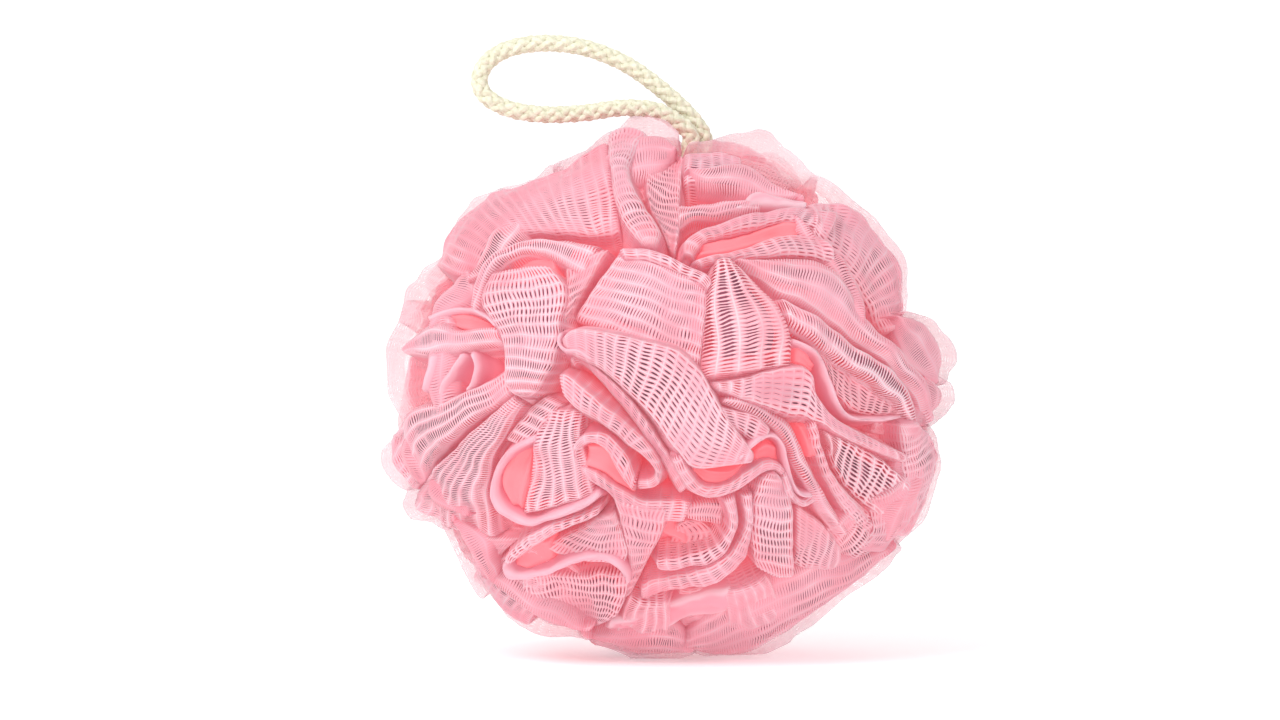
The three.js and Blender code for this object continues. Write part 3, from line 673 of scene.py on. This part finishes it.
def side_folds():
    """Broad folds round the rim that run from the front to the back, every second one deeper in."""
    count = 22
    reach = 44  # to the front and to the back
    rng = np.random.default_rng(11)
    y = np.linspace(-reach, reach, 6)
    round_there = np.sqrt(1 - (y / BALL[1]) ** 2)
    found = []
    for k in range(count):
        turn = 2 * math.pi * (k + rng.uniform(-0.15, 0.15)) / count
        bend = rng.uniform(0.04, 0.1) * rng.choice([-1, 1])
        bend = bend * np.sin(y / reach * math.pi * rng.uniform(0.5, 1))
        half = math.pi / count * rng.uniform(1.0, 1.2)
        lower, sunk = max(0, -math.sin(turn)), k % 2
        size = 0.89 + 0.05 * lower - 0.05 * sunk + rng.uniform(-0.01, 0.01)
        edges = []
        for side in (-1, 1):
            width = half * (0.85 + 0.15 * np.cos(y / reach * math.pi))
            angle = turn + bend + side * width
            ring = np.column_stack([np.cos(angle) * round_there, y / BALL[1], np.sin(angle) * round_there])
            edges.append(ring * BALL * size)
        slits = rng.choice(["along", "across"])
        gape, crown = rng.uniform(0.2, 0.9), rng.uniform(0.5, 2.0)
        found.append(Fold(*edges, slits=slits, gape=gape, roll=1.6, crown=crown))
    return found


def at_the_back(turn, scale):
    """Matrix that takes a fold from the front to the back, turned by some degrees, at another scale."""
    c, s = math.cos(math.radians(turn)), math.sin(math.radians(turn))
    turned = np.array([[c, 0, s], [0, 1, 0], [-s, 0, c]]) @ np.diag([-1, -1, 1])
    return scale * np.diag(BALL) @ turned @ np.diag(1 / BALL)


def all_folds():
    """Every fold of the ball. The order matters, as a fold's place in it is the seed of its unevenness."""
    faces = CENTRE_FOLDS + UPPER_FOLDS + RIGHT_FOLDS + LOWER_FOLDS + LEFT_FOLDS
    rim = rim_folds()
    rear = [fold.moved(at_the_back(128, 0.96)) for fold in faces]
    rear_rim = [fold.moved(at_the_back(19, 0.94)) for fold in rim]
    return faces + rim + side_folds() + rear + rear_rim


def ruffle_ways():
    """The direction in which each ruffle stands out from the core."""
    joints = frame["record"]["behaviour"]["joints"]
    return {j["child"]: -np.array(j["axis"]) for j in joints if j["type"] == "slide"}


def nearest(ways, points):
    """The number of the ruffle that each point belongs to."""
    return np.argmax(unit(points) @ np.stack(list(ways.values())).T, axis=-1)


def inner_ball(ways, sheets):
    """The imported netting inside, shared out among the ruffles."""
    ball = bmesh.new()
    bmesh.ops.create_icosphere(ball, subdivisions=6, radius=1)
    points = np.array([v.co for v in ball.verts]) * BALL * INNER_BALL
    faces = np.array([[v.index for v in f.verts] for f in ball.faces])
    ball.free()
    points *= (1 + ripple(points, *LUMPS, 5) + ripple(points, *SMALL_LUMPS, 6))[:, None]
    owner = nearest(ways, points[faces].mean(axis=1))
    for k in range(len(ways)):
        mine = faces[owner == k]
        used, renumbered = np.unique(mine, return_inverse=True)
        # painted coral shade and glow over the inner ball, at this share
        rather_painted_deep = (0, 0, 0.6)
        sheets[k].add(points[used], [renumbered.reshape(-1, 3)], NET, rather_painted_deep)


def make_ruffles(materials):
    ways = ruffle_ways()
    sheets = [Sheets() for _ in ways]
    inner_ball(ways, sheets)
    for seed, fold in enumerate(all_folds()):
        fold.lay(sheets[nearest(ways, fold.centre())], 10 * seed)
    for (ruffle, way), sheet in zip(ways.items(), sheets):
        piece = sheet.build(f"netting_{ruffle}", materials)
        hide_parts(ruffle)
        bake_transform(piece)


# ---- cord
CORD_RADIUS = 2.35
CORD_TILT = math.radians(6.5)  # the cord's way out of the ball leans this far towards +X
UP_CORD = np.array([math.sin(CORD_TILT), 0, math.cos(CORD_TILT)])
ACROSS_CORD = np.array([math.cos(CORD_TILT), 0, -math.sin(CORD_TILT)])
FRONT, REAR = -1, 1  # the cord's two legs

# The loop outside the ball: out by the front leg to the loop's far end, and back to the rear leg.
LOOP_OUT = [
    (2.6, -1.9, 70.4), (-3.2, -1.7, 73.6), (-12, -1.4, 74.3), (-22, -1.1, 73.0), (-32, -0.8, 72.6),
    (-41, -0.5, 73.9), (-47.4, -0.2, 77.2), (-49.4, 0, 81.7),
]
LOOP_BACK = [
    (-47.2, 0.2, 86.5), (-41.4, 0.5, 90.0), (-32.2, 0.8, 91.4), (-21.7, 1.2, 90.2), (-11.3, 1.5, 86.1),
    (-2.1, 1.8, 79.7), (5.6, 1.9, 72.6),
]
LEG_HEIGHTS = [-1, 20, 40, 56, 63.4, 67.5]  # the points of its legs inside the ball
THROAT_BEND, NECK_BEND = (58.4, 63.4), (65, 70)  # between which heights it bends on its way out
NOD_AT, FOLD_AT = np.array([-7.5, 0, 79]), np.array([-29, 0, 82])  # the middles of the loop's bends
LOOP_WAY = (FOLD_AT - NOD_AT) / np.linalg.norm(FOLD_AT - NOD_AT)
LOOP_BEND = 4.5 * LOOP_WAY  # how far those reach to each side
THROAT_FROM = 64.2 * UP_CORD  # where the pieces of the throat and of the loop's sides begin
LOOP_FROM, LOOP_FROM_WAY = np.array([1.5, 0, 74]), np.array([-0.75, 0, 0.66])


def in_cord(x, y, z):
    """A point given across, in front of and along the cord's axis."""
    return x * ACROSS_CORD + np.array([0, y, 0]) + z * UP_CORD


def leg(side, height):
    """A point of one of the cord's two legs inside the ball."""
    return in_cord(side * 1.8, side * 1.9, height)


def path_frames(points):
    """Two directions across a path at each of its points, carried along it without twisting."""
    tangents = unit(np.gradient(points, axis=0))
    across = np.empty_like(points)
    across[0] = unit(np.cross(tangents[0], [0.3, 1.0, 0.2]))
    for k in range(1, len(points)):
        previous = across[k - 1]
        across[k] = unit(previous - tangents[k] * (previous @ tangents[k]))
    return across, np.cross(tangents, across)


def braid(path, radius, strands=8, pitch=15.0, step=0.5, sides=8):
    """Interlaced strands round a path. Half of them wind each way, and they pass over and under each other.
    Returns the path's points, and a grid of points for each strand."""
    dense, run = smooth_path(path)
    at = np.linspace(0, run[-1], int(run[-1] / step))
    spine = along_path(dense, run, at)
    across, other = path_frames(spine)
    thickness = radius * 0.37
    high, wide = 0.8, 1.15  # each strand is a little flat
    ring = 2 * math.pi * np.arange(sides + 1) / sides
    grids = []
    for k in range(strands):
        hand = 1 if k % 2 else -1
        wound = 2 * math.pi * at / pitch
        turn = hand * wound + 4 * math.pi * (k // 2) / strands
        weave = hand * np.cos(strands / 2 * wound)
        reach = radius - thickness * (1.1 - 0.35 * weave)
        way = np.cos(turn)[:, None] * across + np.sin(turn)[:, None] * other
        centre = spine + way * reach[:, None]
        beside = np.cross(unit(np.gradient(centre, axis=0)), way)
        shape = high * np.cos(ring)[None, :, None] * way[:, None]
        shape = shape + wide * np.sin(ring)[None, :, None] * beside[:, None]
        grids.append(centre[:, None] + shape * thickness)
    return spine, grids


def passes(spine, at, way):
    """The places, as numbers of points along the path, where it goes through a plane."""
    beyond = (spine - at) @ way > 0
    return np.flatnonzero(beyond[1:] != beyond[:-1])


def strand_piece(name, strands, material, slot, *replaced):
    """A mesh of braided strands, which stands in for the CAD's nodes of the names given."""
    sheets = Sheets()
    for strand in strands:
        sheets.add_grid(strand, 0)
    piece = sheets.build(name, [material])
    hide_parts(*replaced)
    return piece


def make_cord(material):
    """The cord in four pieces. It runs out through the ball and round the loop and back, so all pieces but
    the far end are in two stretches."""
    out = [leg(FRONT, height) for height in LEG_HEIGHTS]
    back = [leg(REAR, height) for height in reversed(LEG_HEIGHTS)]
    spine, strands = braid(out + LOOP_OUT + LOOP_BACK + back, CORD_RADIUS)
    throat_out, throat_in = passes(spine, THROAT_FROM, UP_CORD)
    loop_out, loop_in = passes(spine, LOOP_FROM, LOOP_FROM_WAY)
    far_out, far_in = passes(spine, (NOD_AT + FOLD_AT) / 2, LOOP_WAY)
    last = len(spine) - 1

    def stretch(name, spans, *replaced):
        cut = [strand[start : end + 1] for start, end in spans for strand in strands]
        return strand_piece(name, cut, material, "cotton_cord", *replaced)

    legs = stretch("cord_legs", [(0, throat_out), (throat_in, last)], "rope_leg_front", "rope_leg_rear")
    throat = stretch("cord_throat", [(throat_out, loop_out), (loop_in, throat_in)],
                     "rope_throat_front", "rope_throat_rear")
    sides = stretch("cord_loop_sides", [(loop_out, far_out), (far_in, loop_in)],
                    "rope_neck_front", "rope_neck_rear", "rope_loop_front", "rope_loop_rear")
    far = stretch("cord_loop_end", [(far_out, far_in)], "rope_loop_end")
    bends = [
        (legs, "core", "rope_throat", THROAT_BEND[0] * UP_CORD, THROAT_BEND[1] * UP_CORD),
        (throat, "rope_throat", "rope_neck", NECK_BEND[0] * UP_CORD, NECK_BEND[1] * UP_CORD),
        (sides, "rope_neck", "rope_loop", NOD_AT - LOOP_BEND, NOD_AT + LOOP_BEND),
        (far, "rope_loop", "rope_far_end", FOLD_AT - LOOP_BEND, FOLD_AT + LOOP_BEND),
    ]
    for piece, near_body, far_body, start, end in bends:
        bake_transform(piece)


def make_knot(material):
    """The knot under the waist, with the cord's two cut ends below it."""
    size, height = 4.9, -8.4
    knot = []
    for turn in np.linspace(0, 4 * math.pi, 40):
        reach = size * (2 + math.cos(1.5 * turn)) / 2
        rise = size * math.sin(1.5 * turn) / 2
        knot.append(in_cord(reach * math.cos(turn), reach * math.sin(turn), height + rise))
    strands = braid(knot, 2.1)[1]
    for side in (FRONT, REAR):
        strands += braid([leg(side, -12.5), leg(side, -15), leg(side * 1.3, -17.5)], 2.2)[1]
    piece = strand_piece("cord_knot", strands, material, "cotton_cord",
                         "rope_knot", "rope_tail_front", "rope_tail_rear")
    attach(piece, "core")


def make_twine(material):
    """The twine wound round the waist, and its knot in front."""
    height = 7
    coil, bow = [], []
    for u in np.linspace(-1, 1, 40):
        coil.append(in_cord(8.9 * math.cos(8 * u), 8.9 * math.sin(8 * u), height + 2.75 * u))
        aside, rise = 1.8 * math.cos(3 * u), 1.8 * math.sin(3 * u)
        bow.append(in_cord(aside, -10.8 + 0.6 * math.sin(6 * u), height + rise))
    twine = dict(radius=0.9, strands=4, pitch=4, step=0.3, sides=6)
    strands = braid(coil, **twine)[1] + braid(bow, **twine)[1]
    piece = strand_piece("waist_twine", strands, material, "white_twine", "binding_twine", "twine_knot")
    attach(piece, "core")


def make_waist(materials):
    """The netting where it is drawn together in close pleats under the twine."""
    height = np.linspace(-1.5, 14, 21)
    turn = np.linspace(0, 2 * math.pi, 181)
    pinch = 7.3 + 2.0 * np.abs((height - 6.5) / 8) ** 2
    pleats = 22
    pleat = 1 + 0.07 * np.cos(pleats * turn)
    reach = pinch[:, None] * pleat[None]
    flat = ACROSS_CORD * np.cos(turn)[:, None] + np.array([0, 1, 0]) * np.sin(turn)[:, None]
    grid = reach[..., None] * flat[None] + height[:, None, None] * UP_CORD
    sheets = Sheets()
    # the gathered netting is drawn in the dark material of painted shade
    net(sheets, grid, lambda points: 0.2 + np.abs(ripple(points, 0.15, 8, 3)), UNDER_SHADE, np.zeros(grid.shape))
    piece = sheets.build("netting_gathered_waist", materials)
    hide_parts("netting_waist")
    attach(piece, "core")


# ---- materials
# Painted light in the netting's colour: a painted highlight on rims and strands, painted mauve shade in
# creases, and painted coral shade deep in the folds.
HIGHLIGHT_COLOUR, HIGHLIGHT_SHARE = (0.94, 0.81, 0.87), 0.8
CREASE_SHADE_COLOUR, CREASE_SHADE_SHARE = (0.62, 0.1, 0.17), 0.35
CORAL_SHADE_COLOUR, CORAL_SHADE_SHARE = (0.91, 0.22, 0.26), 0.85
DEEP_GLOW = 0.16  # light that comes back from inside the folds


def node_material(name):
    material = bpy.data.materials.new(name)
    material.use_nodes = True
    nodes = material.node_tree.nodes
    nodes.clear()
    return material, nodes, material.node_tree.links


def add_node(nodes, kind, **values):
    """A shader node. In the names of its inputs, an underscore stands for a space."""
    node = nodes.new("ShaderNode" + kind)
    for name, value in values.items():
        node.inputs[name.replace("_", " ")].default_value = value
    return node


def show(nodes, links, shader):
    links.new(shader, add_node(nodes, "OutputMaterial").inputs["Surface"])


def noise(nodes, links, scale, detail):
    where = add_node(nodes, "TexCoord")
    found = add_node(nodes, "TexNoise", Scale=scale, Detail=detail)
    links.new(where.outputs["Object"], found.inputs["Vector"])
    return found.outputs["Fac"]


def noise_colour(nodes, links, low, high, scale):
    """A colour that drifts between two, at the given scale."""
    ramp = add_node(nodes, "ValToRGB")
    for end, place, colour in zip(ramp.color_ramp.elements, (0.35, 0.65), (low, high)):
        end.position = place
        end.color = (*colour, 1)
    links.new(noise(nodes, links, scale, detail=3), ramp.inputs["Fac"])
    return ramp.outputs["Color"]


def tint_share(nodes, links, tint, factor, plus=0.0):
    """One of the mesh's tints, times a factor, plus a constant."""
    value = add_node(nodes, "Attribute")
    value.attribute_name = tint
    share = add_node(nodes, "Math")
    share.operation = "MULTIPLY_ADD"
    share.inputs[1].default_value = factor
    share.inputs[2].default_value = plus
    links.new(value.outputs["Fac"], share.inputs[0])
    return share.outputs["Value"]


def tinted(nodes, links, colour, tint, towards, most):
    """The colour, turned towards another where the mesh's tint is high."""
    mix = add_node(nodes, "Mix")
    mix.data_type = "RGBA"
    mix.inputs["B"].default_value = (*towards, 1)
    links.new(tint_share(nodes, links, tint, most), mix.inputs["Factor"])
    links.new(colour, mix.inputs["A"])
    return mix.outputs["Result"]


def scattering(nodes, links, colour, roughness, sheen, through):
    """A surface that also lets part of the light through."""
    surface = add_node(nodes, "BsdfPrincipled", Roughness=roughness, Sheen_Weight=sheen)
    links.new(colour, surface.inputs["Base Color"])
    passed = add_node(nodes, "BsdfTranslucent")
    links.new(colour, passed.inputs["Color"])
    mix = add_node(nodes, "MixShader", Fac=through)
    links.new(surface.outputs["BSDF"], mix.inputs[1])
    links.new(passed.outputs["BSDF"], mix.inputs[2])
    return surface, mix.outputs["Shader"]


def netting_material(name, low, high, through, glow=0.0, see_through=0.0):
    """Polyethylene netting: it scatters light through itself, glows faintly with the light inside it, and
    can be seen through where it is thin."""
    material, nodes, links = node_material(name)
    colour = noise_colour(nodes, links, low, high, scale=45)
    # painted highlight, painted mauve shade in creases, and painted coral shade deep in the folds
    colour = tinted(nodes, links, colour, "edge", HIGHLIGHT_COLOUR, HIGHLIGHT_SHARE)
    colour = tinted(nodes, links, colour, "crease_shade", CREASE_SHADE_COLOUR, CREASE_SHADE_SHARE)
    colour = tinted(nodes, links, colour, "painted_deep", CORAL_SHADE_COLOUR, CORAL_SHADE_SHARE)
    surface, shader = scattering(nodes, links, colour, roughness=0.45, sheen=0.2, through=through)
    if glow:
        links.new(colour, surface.inputs["Emission Color"])
        lit = tint_share(nodes, links, "painted_deep", DEEP_GLOW, glow)
        links.new(lit, surface.inputs["Emission Strength"])
    if see_through:
        clear = add_node(nodes, "BsdfTransparent")
        veil = add_node(nodes, "MixShader", Fac=see_through)
        links.new(shader, veil.inputs[1])
        links.new(clear.outputs["BSDF"], veil.inputs[2])
        shader = veil.outputs["Shader"]
    show(nodes, links, shader)
    return material


def netting_materials():
    """In the order of NET, UNDER_SHADE, INNER_GLOW and THIN."""
    return [
        netting_material("netting", (0.88, 0.34, 0.43), (0.94, 0.5, 0.6), 0.25, glow=0.07),
        # the under layer: dark all over as painted shade
        netting_material("netting_beneath_painted_shade", (0.13, 0.05, 0.08), (0.42, 0.13, 0.2), 0.05),
        # the pockets' coral, with a painted glow
        netting_material("netting_inside_painted_glow", (0.91, 0.17, 0.16), (0.92, 0.3, 0.34), 0.1, glow=0.18),
        netting_material("netting_thin", (0.94, 0.64, 0.71), (0.96, 0.82, 0.87), 0.3, glow=0.05,
                         see_through=0.55),
    ]


def cord_material(name, low, high, fuzz):
    """Spun fibres: a fine grain along the surface, and a soft sheen."""
    material, nodes, links = node_material(name)
    colour = noise_colour(nodes, links, low, high, scale=900)
    surface, shader = scattering(nodes, links, colour, roughness=0.85, sheen=0.15, through=0.05)
    bump = add_node(nodes, "Bump", Strength=0.5, Distance=0.0003)
    links.new(noise(nodes, links, fuzz, detail=4), bump.inputs["Height"])
    links.new(bump.outputs["Normal"], surface.inputs["Normal"])
    show(nodes, links, shader)
    return material


# ---- room
SKY_LIGHT = 0.7  # the light from all round; to the camera the sky is white


def light(name, at, size, power):
    """A lamp that faces the ball."""
    data = bpy.data.lights.new(name, "AREA")
    data.energy = power
    data.size = size
    lamp = bpy.data.objects.new(name, data)
    lamp.location = at + CENTRE * MM
    lamp.rotation_euler = (-Vector(at)).to_track_quat("-Z", "Y").to_euler()
    bpy.context.collection.objects.link(lamp)


def make_floor():
    """White paper that curves up into a wall behind the ball."""
    material, nodes, links = node_material("paper")
    paper = add_node(nodes, "BsdfPrincipled", Base_Color=(0.93, 0.93, 0.93, 1), Roughness=0.9,
                     Emission_Color=(1, 1, 1, 1), Emission_Strength=0.3)
    show(nodes, links, paper.outputs["BSDF"])
    half_width, near, bend_at, radius, top = 4000, -3000, 1500, 800, 3500
    angle = np.linspace(0, math.pi / 2, 16)
    y = np.concatenate([[near, -1000, 0, 1000], bend_at + radius * np.sin(angle), [bend_at + radius]])
    z = np.concatenate([[0, 0, 0, 0], radius * (1 - np.cos(angle)), [top]]) + FLOOR
    edges = [np.column_stack([np.full(len(y), x), y, z]) for x in (-half_width, half_width)]
    sweep = Sheets()
    sweep.add_grid(np.stack(edges, 1), 0)
    sweep.build("paper_sweep", [material])


def make_sky():
    world = bpy.data.worlds.new("studio")
    world.use_nodes = True
    nodes, links = world.node_tree.nodes, world.node_tree.links
    background = nodes["Background"]
    background.inputs["Color"].default_value = (1, 1, 1, 1)
    seen = add_node(nodes, "LightPath")
    strength = add_node(nodes, "MapRange", To_Min=SKY_LIGHT)
    links.new(seen.outputs["Is Camera Ray"], strength.inputs["Value"])
    links.new(strength.outputs["Result"], background.inputs["Strength"])
    bpy.context.scene.world = world


def make_camera():
    data = bpy.data.cameras.new("camera")
    data.lens = CAMERA_LENS
    data.clip_end = 20
    camera = bpy.data.objects.new("camera", data)
    camera.location = in_frame(CAMERA_AT)
    camera.rotation_euler = (math.pi / 2, 0, 0)
    bpy.context.collection.objects.link(camera)
    bpy.context.scene.camera = camera


netting = netting_materials()
cotton = cord_material("cotton", (0.72, 0.7, 0.52), (0.88, 0.86, 0.7), 1500)
make_ruffles(netting)
make_waist(netting)
make_cord(cotton)
make_knot(cotton)
make_twine(cord_material("twine", (0.85, 0.83, 0.8), (0.95, 0.94, 0.92), 2500))
make_floor()
make_sky()
light("key", (-0.5, -0.7, 0.8), size=0.6, power=7.5)
light("fill", (0.8, -0.7, 0.2), size=0.8, power=1.5)
make_camera()
bpy.context.scene.view_settings.view_transform = "Standard"
